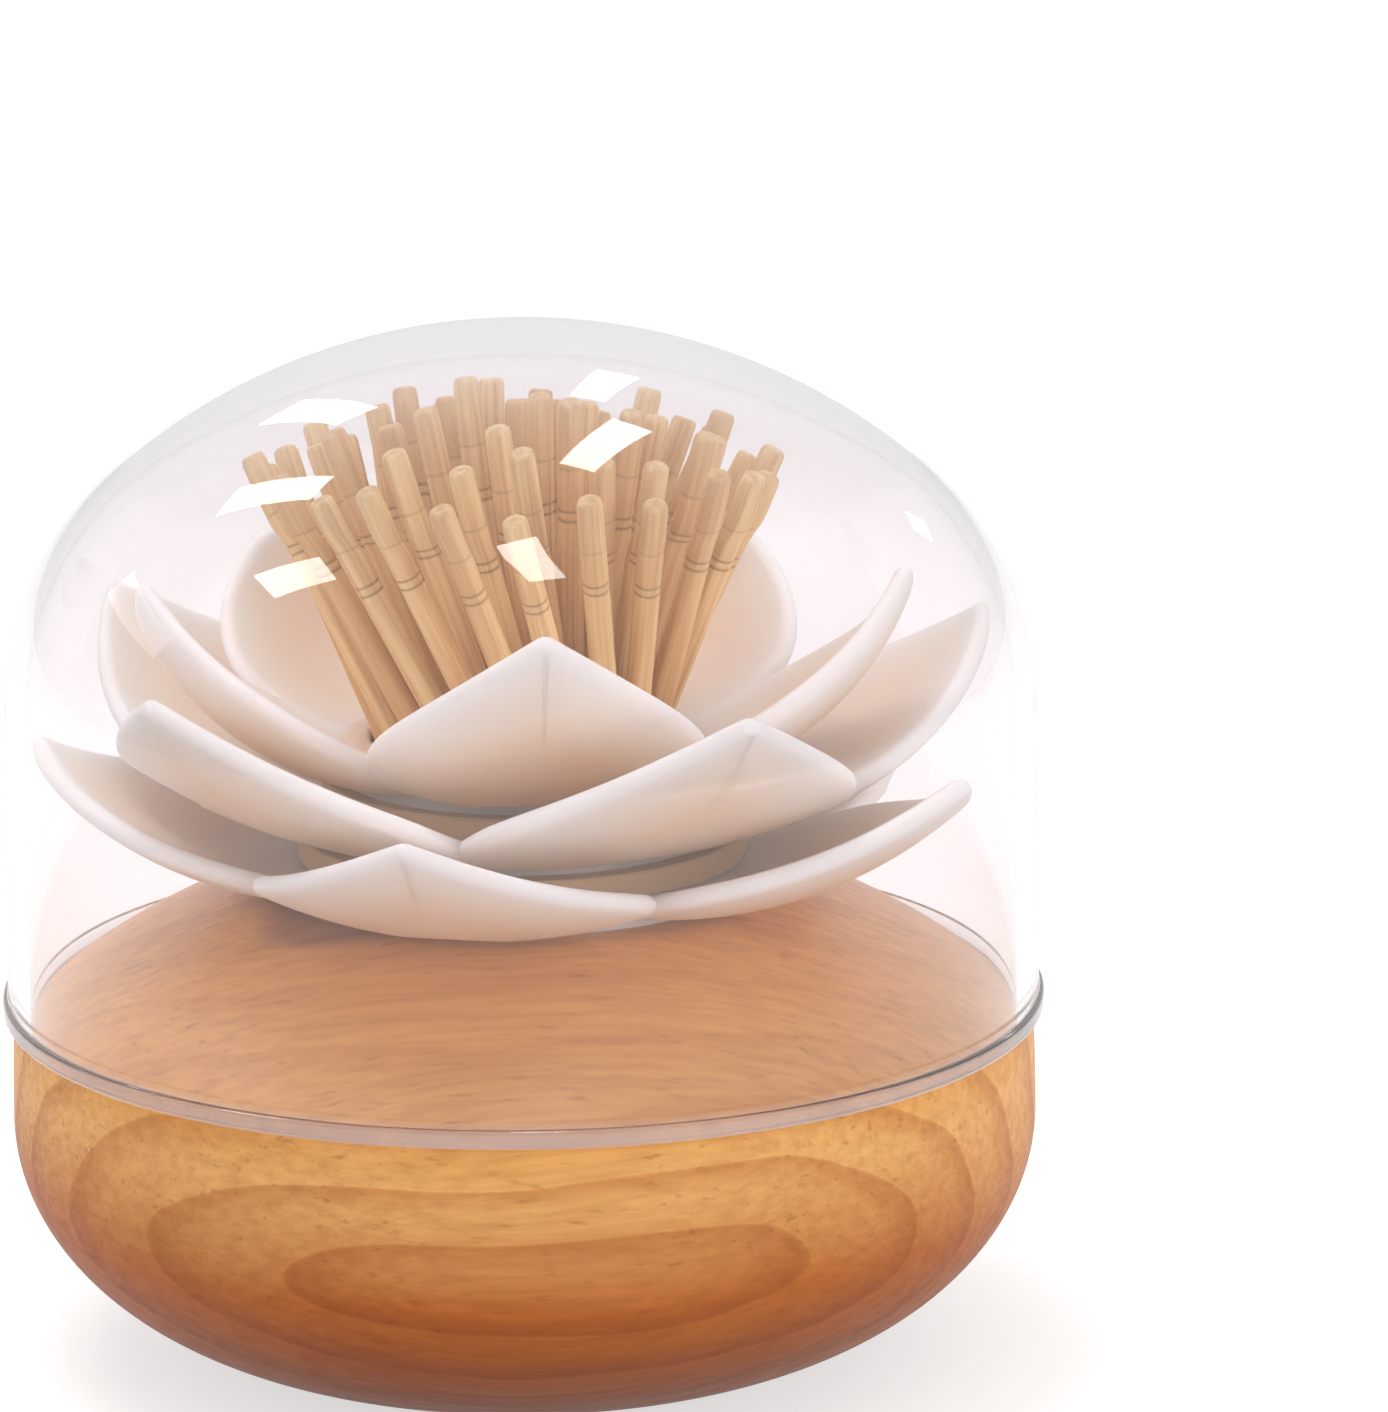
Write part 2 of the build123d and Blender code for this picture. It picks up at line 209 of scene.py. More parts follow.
def vectors(tree, operation, one, other):
    return put(tree, "ShaderNodeVectorMath", {0: one, 1: other}, operation=operation).outputs[0]


def combined(tree, **parts):
    """A vector from its parts; those that aren't given are zero."""
    return put(tree, "ShaderNodeCombineXYZ", parts).outputs[0]


def on_object(tree):
    """Where a point lies on its piece, in metres."""
    return put(tree, "ShaderNodeTexCoord").outputs["Object"]


def attribute(tree, name):
    """A value that a piece's own mesh carries."""
    return put(tree, "ShaderNodeAttribute", attribute_name=name).outputs


def noise(tree, place, scale=1.0, detail=2.0, roughness=0.5):
    inputs = {"Vector": place, "Scale": scale, "Detail": detail, "Roughness": roughness}
    return put(tree, "ShaderNodeTexNoise", inputs).outputs[0]


def relief(tree, height, strength, distance):
    inputs = {"Height": height, "Strength": strength, "Distance": distance}
    return put(tree, "ShaderNodeBump", inputs).outputs[0]


def ramp(tree, factor, *stops):
    """A colour ramp; each stop is (position, colour)."""
    made = put(tree, "ShaderNodeValToRGB", {"Fac": factor})
    elements = made.color_ramp.elements
    while len(elements) < len(stops):
        elements.new(0.5)
    for element, (position, tint) in zip(elements, stops):
        element.position = position
        element.color = tint
    return made.outputs["Color"]


def grey(level):
    return (level, level, level, 1.0)


def levels(tree, factor, *stops):
    """A ramp of plain levels; each stop is (position, level)."""
    return ramp(tree, factor, *((position, grey(level)) for position, level in stops))


def tinted(tint, share=1.0):
    return (tint[0] * share, tint[1] * share, tint[2] * share, 1.0)


def mixed(tree, factor, one, other, blend="MIX"):
    made = put(tree, "ShaderNodeMix", data_type="RGBA", blend_type=blend)
    for key, value in (("Factor", factor), ("A", one), ("B", other)):
        socket = next(s for s in made.inputs if s.name == key and s.enabled)
        if isinstance(value, bpy.types.NodeSocket):
            tree.links.new(value, socket)
        else:
            socket.default_value = value
    return next(s for s in made.outputs if s.enabled)


def finish_material(name, **values):
    """A new material: its tree and its shader, with the plain values given."""
    material = bpy.data.materials.new(name)
    material.use_nodes = True
    tree = material.node_tree
    shader = tree.nodes["Principled BSDF"]
    for key, value in values.items():
        shader.inputs[key.replace("_", " ")].default_value = value
    return material, tree, shader


def wire(tree, shader, **inputs):
    names = {"color": "Base Color", "roughness": "Roughness", "coat": "Coat Weight", "normal": "Normal"}
    for key, value in inputs.items():
        tree.links.new(value, shader.inputs[names[key]])


def moved(tree, place, scale, location=(0.0, 0.0, 0.0)):
    """Shifts and stretches a pattern."""
    inputs = {"Vector": place, "Scale": scale, "Location": location}
    return put(tree, "ShaderNodeMapping", inputs).outputs[0]


# ------ materials


# The pith runs along X, this far in front of the axis and this high, in metres.
PITH_FORWARD = 0.049
PITH_HEIGHT = 0.0206
FIRST_RING = 0.14
GRAIN_SWAY = 0.012
# Heights in the ramps of the wood and of the dome are shares of this height, in metres.
RAMP_HEIGHT = 0.05


def ramp_level(tree, place):
    height = put(tree, "ShaderNodeSeparateXYZ", {0: place}).outputs["Z"]
    return maths(tree, "DIVIDE", height, RAMP_HEIGHT)


def turned_wood(settings):
    """Honey-coloured timber, its grain along X, its pith at the front of the belly; painted shade darkens
    it towards the foot and on the spacers.
    """
    material, tree, shader = finish_material("turned_wood", Coat_Roughness=0.3, Specular_IOR_Level=0.2)
    place = on_object(tree)
    cloud = {"Vector": moved(tree, place, (14, 30, 30)), "Scale": 1.0, "Detail": 2.0}
    sway = put(tree, "ShaderNodeTexNoise", cloud).outputs["Color"]
    sway = vectors(tree, "SUBTRACT", sway, (0.5, 0.5, 0.5))
    sway = put(tree, "ShaderNodeVectorMath", {0: sway, "Scale": GRAIN_SWAY}, operation="SCALE").outputs[0]
    swayed = vectors(tree, "ADD", place, sway)

    deep, tall = 1 / settings.ring_depth, 1 / settings.ring_height
    pith = moved(tree, swayed, (3.0, deep, tall), location=(0.0, PITH_FORWARD * deep, -PITH_HEIGHT * tall))
    from_pith = put(tree, "ShaderNodeVectorMath", {0: pith}, operation="LENGTH").outputs["Value"]
    rings = maths(tree, "FRACT", maths(tree, "ADD", from_pith, FIRST_RING))
    late = levels(tree, rings, (0.0, 0.0), (0.55, 0.1), (0.94, 1.0), (0.985, 0.75), (1.0, 0.0))
    streaks = noise(tree, moved(tree, swayed, (40, 900, 900)), detail=4.0, roughness=0.6)
    flecks = noise(tree, moved(tree, place, (260, 1500, 1500)))
    fleck_marks = levels(tree, flecks, (0.62, 0.0), (0.74, 1.0))
    streak_marks = levels(tree, streaks, (0.35, 0.0), (0.7, 1.0))
    wash = noise(tree, place, scale=22.0)

    level = ramp_level(tree, swayed)
    # The ramp paints shade: darker towards the foot, and darker on the spacers between the tiers.
    body = ramp(
        tree, level, (0.06, tinted(settings.foot_shade_and_flecks)), (0.36, tinted(settings.belly_shade)),
        (0.62, tinted(settings.wood_side)), (0.72, tinted(settings.wood_top)),
        (0.96, tinted(settings.wood_top)), (0.98, tinted(settings.spacer_shade)),
    )
    under_dome = levels(tree, level, (0.68, 0.85), (0.74, 0.3))
    ringed = maths(tree, "MULTIPLY", late, under_dome)
    body = mixed(tree, ringed, body, tinted(settings.ring_tone), "MULTIPLY")
    darker = mixed(tree, 1.0, body, tinted(settings.ring_tone, 0.9), "MULTIPLY")
    body = mixed(tree, maths(tree, "MULTIPLY", streak_marks, 0.55), body, darker)
    body = mixed(tree, maths(tree, "MULTIPLY", fleck_marks, 0.35), body, tinted(settings.foot_shade_and_flecks))
    body = mixed(tree, maths(tree, "MULTIPLY", wash, 0.14), body, tinted(settings.wood_side, 1.05))
    gloss = levels(tree, streaks, (0.3, 0.42), (0.8, 0.55))
    polish = levels(tree, level, (0.68, 0.02), (0.74, 0.5))
    grain = relief(tree, streaks, 0.12, 0.0004)
    wire(tree, shader, color=body, roughness=gloss, coat=polish, normal=grain)
    return material


def petal_plastic(settings):
    """Satin moulded plastic, whiter at its thin rim and beige towards its middle and on its inside: partly
    translucency, partly painted shade.
    """
    material, tree, shader = finish_material(
        "petal_plastic", Subsurface_Weight=0.6, Subsurface_Radius=(1.0, 0.7, 0.5), Subsurface_Scale=0.004
    )
    place = on_object(tree)
    cloud = noise(tree, place, scale=60.0, detail=3.0)
    drift = maths(tree, "MULTIPLY", maths(tree, "SUBTRACT", cloud, 0.5), 0.25)
    depth = maths(tree, "ADD", attribute(tree, "from_rim")["Fac"], drift)
    # Painted shade: beige from the rim towards the heart, and more of it on the inner face of the hollows.
    body = ramp(tree, depth, (0.0, tinted(settings.petal_rim)), (0.9, tinted(settings.petal_heart)))
    hollow_shade_share = maths(tree, "MULTIPLY", attribute(tree, "hollow")["Fac"], 0.6)
    body = mixed(tree, hollow_shade_share, body, tinted(settings.petal_hollow_shade))
    grain = noise(tree, place, scale=1400.0)
    gloss = levels(tree, cloud, (0.3, 0.36), (0.7, 0.46))
    wire(tree, shader, color=body, roughness=gloss, normal=relief(tree, grain, 0.05, 0.0001))
    return material


def pick_wood(settings):
    """Raw birch: long streaks, each pick its own tone, with painted shade in its grooves and on its blunt
    top.
    """
    material, tree, shader = finish_material("pick_wood")
    tone = attribute(tree, "tone")["Fac"]
    apart = combined(tree, Z=maths(tree, "MULTIPLY", tone, 7.0))
    placed = vectors(tree, "ADD", attribute(tree, "on_pick")["Vector"], apart)
    streaks = noise(tree, moved(tree, placed, (1500, 1500, 45)), detail=3.0, roughness=0.6)
    broad = noise(tree, moved(tree, placed, (500, 500, 25)))
    lines = levels(tree, streaks, (0.35, 0.0), (0.7, 1.0))
    body = mixed(tree, lines, tinted(settings.pick_pale), tinted(settings.pick_brown))
    body = mixed(tree, maths(tree, "MULTIPLY", broad, 0.6), body, tinted(settings.pick_pale, 1.05))
    darkened = maths(tree, "MULTIPLY", maths(tree, "POWER", tone, 2.0), 0.45)
    body = mixed(tree, darkened, body, tinted(settings.pick_brown))
    # Painted shade in the grooves and on the top.
    shade_mark_share = maths(tree, "MULTIPLY", attribute(tree, "groove")["Fac"], 0.75)
    body = mixed(tree, shade_mark_share, body, tinted(settings.pick_brown, 0.35))
    gloss = levels(tree, broad, (0.3, 0.6), (0.7, 0.75))
    wire(tree, shader, color=body, roughness=gloss, normal=relief(tree, streaks, 0.3, 0.00012))
    return material


def clear_plastic(settings):
    """Polished clear plastic with the faintest cloud in its polish, and a milky lip."""
    material, tree, shader = finish_material("clear_plastic", IOR=1.49, Transmission_Weight=1.0)
    place = on_object(tree)
    cloud = noise(tree, place, scale=35.0)
    gloss = levels(tree, cloud, (0.3, 0.0), (0.8, 0.03))
    tint = ramp(tree, cloud, (0.3, tinted(settings.clear)), (0.8, tinted(settings.clear, 0.985)))
    wire(tree, shader, color=tint, roughness=gloss)
    lip = levels(tree, ramp_level(tree, place), (0.7, 0.22), (0.735, 0.0))
    frost = put(tree, "ShaderNodeBsdfDiffuse", {"Color": (0.95, 0.93, 0.93, 1.0)})
    milky = put(tree, "ShaderNodeMixShader", {0: lip, 1: shader.outputs[0], 2: frost.outputs[0]})
    clear = put(tree, "ShaderNodeBsdfTransparent", {"Color": (0.93, 0.92, 0.93, 1.0)})
    shadow = put(tree, "ShaderNodeLightPath").outputs["Is Shadow Ray"]
    both = put(tree, "ShaderNodeMixShader", {0: shadow, 1: milky.outputs[0], 2: clear.outputs[0]})
    tree.links.new(both.outputs[0], tree.nodes["Material Output"].inputs["Surface"])
    return material


def cup_plastic(settings):
    """Plain moulded liner, a little darker in its clouds."""
    material, tree, shader = finish_material("cup_plastic")
    cloud = noise(tree, on_object(tree), scale=90.0, detail=3.0)
    body = ramp(tree, cloud, (0.3, tinted(settings.petal_heart)), (0.8, tinted(settings.petal_heart, 0.9)))
    wire(tree, shader, color=body, roughness=levels(tree, cloud, (0.3, 0.4), (0.8, 0.5)))
    return material


def pad_rubber():
    """Dark, grainy rubber."""
    material, tree, shader = finish_material("pad_rubber")
    speck = noise(tree, on_object(tree), scale=900.0, detail=3.0)
    body = ramp(tree, speck, (0.3, (0.035, 0.03, 0.027, 1)), (0.75, (0.075, 0.066, 0.06, 1)))
    gloss = levels(tree, speck, (0.3, 0.7), (0.8, 0.9))
    wire(tree, shader, color=body, roughness=gloss, normal=relief(tree, speck, 0.4, 0.0001))
    return material


def brushed_steel():
    """Steel of the screw and its washer, brushed along its length."""
    material, tree, shader = finish_material("brushed_steel", Metallic=1.0)
    brush = noise(tree, moved(tree, on_object(tree), (3000, 3000, 200)), detail=3.0)
    body = levels(tree, brush, (0.3, 0.42), (0.8, 0.6))
    wire(tree, shader, color=body, roughness=levels(tree, brush, (0.3, 0.25), (0.8, 0.42)))
    return material


# ------ turned shapes


def sweep(centre, radius, start, end, steps):
    """Points of an arc in the (radius, height) plane; angles in degrees."""
    points = []
    for index in range(steps + 1):
        turn = radians(start + (end - start) * index / steps)
        points.append((centre[0] + radius * cos(turn), centre[1] + radius * sin(turn)))
    return points


def add_ring(shape, radius, height, steps):
    """Vertices round the axis, from sizes in millimetres; a ring of no radius is one vertex."""
    ring = []
    for index in range(steps if radius > 0 else 1):
        turn = 2 * pi * index / steps
        ring.append(shape.verts.new((radius * MM * cos(turn), radius * MM * sin(turn), height * MM)))
    return ring


def join_rings(shape, pairs, steps):
    """Faces between each pair of rings; a ring of one vertex is a pole."""
    for one, other in pairs:
        for index in range(steps):
            corners = [one[index % len(one)], one[(index + 1) % len(one)]]
            corners += [other[(index + 1) % len(other)], other[index % len(other)]]
            corners = list(dict.fromkeys(corners))
            if len(corners) > 2:
                shape.faces.new(corners)


def turned(name, outline, steps=160, closed=True):
    """A turned solid from its outline in millimetres; points on the axis close it."""
    shape = bmesh.new()
    rings = [add_ring(shape, radius, height, steps) for radius, height in outline]
    pairs = list(zip(rings, rings[1:]))
    if closed:
        pairs.append((rings[-1], rings[0]))
    join_rings(shape, pairs, steps)
    return solid(name, shape)


def smoothed(mesh, sharp):
    """Shades a mesh smooth but for edges sharper than this, in degrees."""
    for polygon in mesh.polygons:
        polygon.use_smooth = True
    mesh.set_sharp_from_angle(angle=radians(sharp))


def solid(name, shape, sharp=35):
    """Makes a bmesh an object at the origin, smooth but for its sharp edges."""
    bmesh.ops.recalc_face_normals(shape, faces=shape.faces)
    mesh = bpy.data.meshes.new(name)
    shape.to_mesh(mesh)
    shape.free()
    smoothed(mesh, sharp)
    piece = bpy.data.objects.new(name, mesh)
    bpy.context.scene.collection.objects.link(piece)
    return piece


def dressed(piece, material, body, slot, *nodes):
    """Gives a finished piece its material, its body and the CAD nodes it stands for."""
    if not piece.data.materials:
        piece.data.materials.append(material)
    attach(piece, body)
    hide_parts(*nodes)


def coated(node, material):
    """Gives a CAD node that keeps its own shape a finished material."""
    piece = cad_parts[node]
    piece.data.materials.clear()
    piece.data.materials.append(material)


# ------ operators: base

# Clearances round the pad, the washer and the cup, and the screw's hole, in millimetres.
PAD_GAP = 0.2
WASHER_GAP = 0.3
CUP_GAP = 0.4
SCREW_HOLE_RADIUS = 2.3
WAIST_STEPS, BELLY_STEPS = 8, 40


class HOLDER_OT_turned_base(bpy.types.Operator):
    """Turn the wooden base with its ledge, its bore and the recess for the pad"""

    bl_idname = "holder.turned_base"
    bl_label = "Turned Base"
    bl_options = {"REGISTER", "UNDO"}

    def execute(self, context):
        size = context.scene.holder_base
        equator = half_width("base")
        bottom, seat = low("base"), high("base")
        foot = size.foot_diameter / MM / 2
        ledge = size.ledge_height / MM
        equator_level = size.equator_height / MM
        ledge_radius = size.ledge_diameter / MM / 2
        edge = size.ledge_round / MM
        shoulder = size.shoulder_diameter / MM / 2
        shoulder_level = ledge + size.shoulder_height / MM
        crown = size.crown_radius / MM
        bore = size.bore_diameter / MM / 2
        crown_centre = shoulder_level - sqrt(crown**2 - shoulder**2)
        start = asin((seat - crown_centre) / crown) * 180 / pi
        end = asin((shoulder_level - crown_centre) / crown) * 180 / pi

        outline = [(bore, seat)]
        outline += sweep((0, crown_centre), crown, start, end, 24)
        outline.append((shoulder, ledge))
        outline += sweep((ledge_radius - edge, ledge - edge), edge, 90, 8, 6)
        waist = [
            (ledge_radius, ledge - edge),
            ((3 * equator + ledge_radius) / 4, (equator_level + ledge) / 2),
            (equator, equator_level),
        ]
        for index in range(1, WAIST_STEPS + 1):
            share = index / WAIST_STEPS
            first, middle, last = (1 - share) ** 2, 2 * share * (1 - share), share**2
            outline.append(tuple(first * a + middle * b + last * c for a, b, c in zip(*waist)))
        for index in range(1, BELLY_STEPS + 1):
            turn = radians(90 * index / BELLY_STEPS)
            outline.append((
                foot + (equator - foot) * cos(turn),
                equator_level - (equator_level - bottom) * sin(turn),
            ))
        pad = half_width("base_pad") + PAD_GAP
        washer = half_width("screw_washer") + WASHER_GAP
        recess, washer_top, cup_floor = high("base_pad"), high("screw_washer"), low("pick_cup") - CUP_GAP
        outline += [(pad, bottom), (pad, recess), (washer, recess), (washer, washer_top)]
        outline += [(SCREW_HOLE_RADIUS, washer_top), (SCREW_HOLE_RADIUS, cup_floor), (bore, cup_floor)]
        base = turned("turned_base", outline, steps=192)
        dressed(base, turned_wood(size), STAND, "turned_wood", "base")
        return {"FINISHED"}


class HOLDER_OT_fastening(bpy.types.Operator):
    """Finish the anti-slip pad and the screw and washer that hold the cup"""

    bl_idname = "holder.fastening"
    bl_label = "Pad, Screw and Washer"
    bl_options = {"REGISTER", "UNDO"}

    def execute(self, context):
        coated("base_pad", pad_rubber())
        steel = brushed_steel()
        coated("cup_screw", steel)
        coated("screw_washer", steel)
        return {"FINISHED"}


# ------ operators: flower

# Sizes in millimetres, rises above the tier's underside, the turn in degrees.
Tier = namedtuple("Tier", "node tip_radius tip_rise bowl_start half_width shoulder cup turn seat")
TIERS = (
    Tier("lower_petals", 45.8, 15.5, 18.0, 18.2, 10.5, 48.0, -103.0, 21.8),
    Tier("middle_petals", 45.2, 20.3, 10.5, 19.0, 18.5, 80.0, -64.0, 19.3),
    Tier("inner_petals", 36.0, 21.6, 11.0, 15.0, 13.5, 34.0, -86.5, 17.3),
)
# Bores round the cup's liner, of the petals and of the hubs and spacers.
PETAL_BORE = 15.7
RING_BORE = 15.65
# How far into the petal each inner loop of its mesh lies, from rim to heart.
LOOP_SHARES = (0.05, 0.12, 0.2, 0.3, 0.4, 0.5, 0.6, 0.7, 0.8, 0.9, 0.97)
ROOT_STEPS, EDGE_STEPS, TIP_STEPS, RIM_STEPS = 12, 40, 6, 8


def petal_outline(size, chord, half, shoulder):
    """Right-hand half of a petal's outline on its chord, from root to tip."""
    taper, reach, straight = size.root_taper / MM, size.shoulder_reach / MM, size.tip_reach / MM
    points = []
    for index in range(ROOT_STEPS + 1):
        share = index / ROOT_STEPS
        rise = (1 - share) ** 2 * (half - taper) + (1 - (1 - share) ** 2) * half
        points.append((share * shoulder, rise))
    guides = (
        (shoulder, half),
        (shoulder + reach, half),
        (chord - straight * cos(size.tip_angle), straight * sin(size.tip_angle)),
        (chord, 0.0),
    )
    tip = size.tip_round / MM
    tip_centre = chord - tip / sin(size.tip_angle)
    for index in range(1, EDGE_STEPS + 1):
        share = index / EDGE_STEPS
        weights = ((1 - share) ** 3, 3 * share * (1 - share) ** 2, 3 * share**2 * (1 - share), share**3)
        along = sum(weight * guide[0] for weight, guide in zip(weights, guides))
        across = sum(weight * guide[1] for weight, guide in zip(weights, guides))
        if along - tip_centre > tip * sin(size.tip_angle) - 0.02:
            break
        points.append((along, across))
    for index in range(1, TIP_STEPS + 1):
        turn = (pi / 2 - size.tip_angle) * (1 - index / TIP_STEPS)
        points.append((tip_centre + tip * cos(turn), tip * sin(turn)))
    return points


def petal_mesh(size, level, tier):
    """One petal along +X: a dished, bent blade with a rounded rim, cut to its share of the circle."""
    cup = tier.cup
    thick = size.thickness / MM
    floor = level + (size.hub - size.bowl_sink) / MM
    run, rise = tier.tip_radius - tier.bowl_start, level + tier.tip_rise - floor
    chord, slope = hypot(run, rise), atan2(rise, run)
    bend = chord / (2 * sin(slope))

    def on_blade(along, across):
        reach = bend - cup + sqrt(cup**2 - across**2)
        bent = slope + asin(max(-1.0, min(1.0, (along - bend * sin(slope)) / reach)))
        return Vector((tier.bowl_start + reach * sin(bent), across, floor + bend - reach * cos(bent)))

    def placed(along, across, depth):
        top = on_blade(along, across)
        forward = on_blade(along + 0.05, across) - on_blade(along - 0.05, across)
        sideways = on_blade(along, across + 0.05) - on_blade(along, across - 0.05)
        return (top - forward.cross(sideways).normalized() * depth) * MM

    right = petal_outline(size, chord, tier.half_width, tier.shoulder)
    outline = [Vector((along, -across)) for along, across in right]
    outline += [Vector((along, across)) for along, across in reversed(right[:-1])]
    count = len(outline)
    inward = []
    for index in range(count):
        ahead = outline[(index + 1) % count] - outline[index - 1]
        inward.append(Vector((-ahead.y, ahead.x)).normalized())

    shape = bmesh.new()
    # from_rim and hollow carry where the material paints shade: towards the heart, and on the inner face.
    from_rim = shape.verts.layers.float.new("from_rim")
    hollow = shape.verts.layers.float.new("hollow")
    heart = Vector((chord * 0.5, 0.0))
    loops = []

    def add_loop(points, depth, share):
        loop = []
        for point in points:
            vertex = shape.verts.new(placed(point.x, point.y, depth))
            vertex[from_rim] = share
            vertex[hollow] = share if depth == 0 else 0.0
            loop.append(vertex)
        loops.append(loop)

    def inner_loops(depth, order):
        rim = [point + step * (thick / 2) for point, step in zip(outline, inward)]
        for share in order:
            towards_heart = 0.05 + 0.95 * min(1.0, share * 1.6)
            add_loop([heart.lerp(point, 1 - share) for point in rim], depth, towards_heart)

    inner_loops(0.0, reversed(LOOP_SHARES))
    for index in range(RIM_STEPS + 1):
        around = radians(90 - 180 * index / RIM_STEPS)
        inset = thick / 2 * (1 - cos(around))
        depth = thick / 2 * (1 - sin(around))
        add_loop([point + step * inset for point, step in zip(outline, inward)], depth, 0.0)
    inner_loops(thick, LOOP_SHARES)
    join_rings(shape, zip(loops, loops[1:]), count)
    shape.faces.new(loops[0])
    shape.faces.new(list(reversed(loops[-1])))

    share = pi / size.petals
    for side in (1, -1):
        geometry = shape.verts[:] + shape.edges[:] + shape.faces[:]
        facing = (-sin(share), side * cos(share), 0)
        bmesh.ops.bisect_plane(shape, geom=geometry, plane_co=(0, 0, 0), plane_no=facing, clear_outer=True)
    for vertex in shape.verts:
        radius = hypot(vertex.co.x, vertex.co.y)
        if radius < PETAL_BORE * MM:
            vertex.co.x *= PETAL_BORE * MM / max(radius, 1e-6)
            vertex.co.y *= PETAL_BORE * MM / max(radius, 1e-6)
        vertex.co.z = max(vertex.co.z, level * MM)
    return shape


def node_group(name, output, **inputs):
    """A geometry nodes tree and its input sockets, each of them named with its kind."""
    tree = bpy.data.node_groups.new(name, "GeometryNodeTree")
    for key, kind in inputs.items():
        tree.interface.new_socket(key, in_out="INPUT", socket_type="NodeSocket" + kind)
    tree.interface.new_socket(output, in_out="OUTPUT", socket_type="NodeSocketGeometry")
    return tree, put(tree, "NodeGroupInput").outputs


def set_material(tree, geometry, material):
    return put(tree, "GeometryNodeSetMaterial", {"Geometry": geometry, "Material": material}).outputs[0]


def ring_of_petals():
    """Geometry nodes that set one petal round the hub and join the copies."""
    kinds = {"Petal": "Geometry", "Petals": "Int", "Turn": "Float", "Material": "Material"}
    tree, given = node_group("Petal Ring", "Tier", **kinds)
    step = maths(tree, "DIVIDE", 2 * pi, given["Petals"])
    index = put(tree, "GeometryNodeInputIndex").outputs[0]
    turn = maths(tree, "MULTIPLY_ADD", index, step, given["Turn"])
    around = combined(tree, Z=turn)
    points = put(tree, "GeometryNodePoints", {"Count": given["Petals"]}).outputs[0]
    inputs = {"Points": points, "Instance": given["Petal"], "Rotation": around}
    copies = put(tree, "GeometryNodeInstanceOnPoints", inputs).outputs[0]
    real = put(tree, "GeometryNodeRealizeInstances", {"Geometry": copies}).outputs[0]
    joined = put(tree, "GeometryNodeMergeByDistance", {"Geometry": real, "Distance": 0.02 * MM}).outputs[0]
    finished = set_material(tree, joined, given["Material"])
    put(tree, "NodeGroupOutput", {"Tier": finished})
    return tree


def grown(piece, tree, **values):
    """Runs a geometry nodes tree on a piece and keeps the plain mesh it makes."""
    modifier = piece.modifiers.new("grow", "NODES")
    modifier.node_group = tree
    for item in tree.interface.items_tree:
        if item.in_out == "INPUT" and item.name in values:
            modifier[item.identifier] = values[item.name]
    bpy.context.view_layer.update()
    seen = piece.evaluated_get(bpy.context.evaluated_depsgraph_get())
    mesh = bpy.data.meshes.new_from_object(seen)
    mesh.name = piece.name
    piece.modifiers.remove(modifier)
    piece.data = mesh
    return piece


class HOLDER_OT_petal_tiers(bpy.types.Operator):
    """Mould the three tiers of petals"""

    bl_idname = "holder.petal_tiers"
    bl_label = "Petal Tiers"
    bl_options = {"REGISTER", "UNDO"}

    def execute(self, context):
        size = context.scene.holder_flower
        plastic = petal_plastic(size)
        tree = ring_of_petals()
        heights = {
            "lower_petals": high("base"),
            "middle_petals": high("lower_spacer"),
            "inner_petals": high("upper_spacer"),
        }
        for tier in TIERS:
            level = heights[tier.node]
            petal = solid(tier.node + "_moulding", petal_mesh(size, level, tier))
            grown(petal, tree, Petals=size.petals, Turn=radians(tier.turn), Material=plastic)
            add_hub(petal, level, tier.seat, size.hub / MM)
            dressed(petal, plastic, STAND, "petal_plastic", tier.node)
        return {"FINISHED"}


def add_hub(petal, level, seat, thickness):
    """Joins the flat hub to a ring of petals, and smooths the tier."""
    top = level + thickness
    hub = turned("hub", [(RING_BORE, level), (seat, level), (seat, top), (RING_BORE, top)])
    shape = bmesh.new()
    shape.from_mesh(petal.data)
    shape.from_mesh(hub.data)
    bmesh.ops.recalc_face_normals(shape, faces=shape.faces)
    shape.to_mesh(petal.data)
    shape.free()
    bpy.data.objects.remove(hub)
    smoothed(petal.data, 40)


# The cup's radii, its floor and its flange, and the spacers' bevel, in millimetres.
CUP_OUTSIDE = 15.4
CUP_INSIDE = 14.3
CUP_FLOOR = 5.0
FLANGE = 1.3
FLANGE_ROUND = 0.58
SPACER_EDGE = 0.2


class HOLDER_OT_spacers(bpy.types.Operator):
    """Turn the wooden spacer rings and the cup's liner"""

    bl_idname = "holder.spacers"
    bl_label = "Spacers and Cup"
    bl_options = {"REGISTER", "UNDO"}

    def execute(self, context):
        wood = bpy.data.materials["turned_wood"]
        # The wood's ramp gives these rings the spacer tone, a painted shade of the tiers over them.
        for node in ("lower_spacer", "upper_spacer"):
            edge, bottom, top = half_width(node), low(node), high(node)
            outline = [(RING_BORE, bottom), (edge - SPACER_EDGE, bottom), (edge, bottom + SPACER_EDGE)]
            outline += [(edge, top - SPACER_EDGE), (edge - SPACER_EDGE, top), (RING_BORE, top)]
            ring = turned(node + "_ring", outline)
            dressed(ring, wood, STAND, "turned_wood", node)
        top, end, flange = high("pick_cup"), low("pick_cup"), half_width("pick_cup")
        under, edge = top - FLANGE, FLANGE_ROUND
        outline = [(0, end), (CUP_OUTSIDE, end), (CUP_OUTSIDE, under), (flange, under)]
        outline += sweep((flange - edge, top - edge), edge, 0, 90, 5)
        outline += sweep((CUP_INSIDE + edge, top - edge), edge, 90, 180, 5)
        outline += [(CUP_INSIDE, end + CUP_FLOOR), (0, end + CUP_FLOOR)]
        cup = turned("pick_cup_liner", outline, closed=False)
        dressed(cup, cup_plastic(context.scene.holder_flower), STAND, "cup_plastic", "pick_cup")
        return {"FINISHED"}


# ------ operators: picks


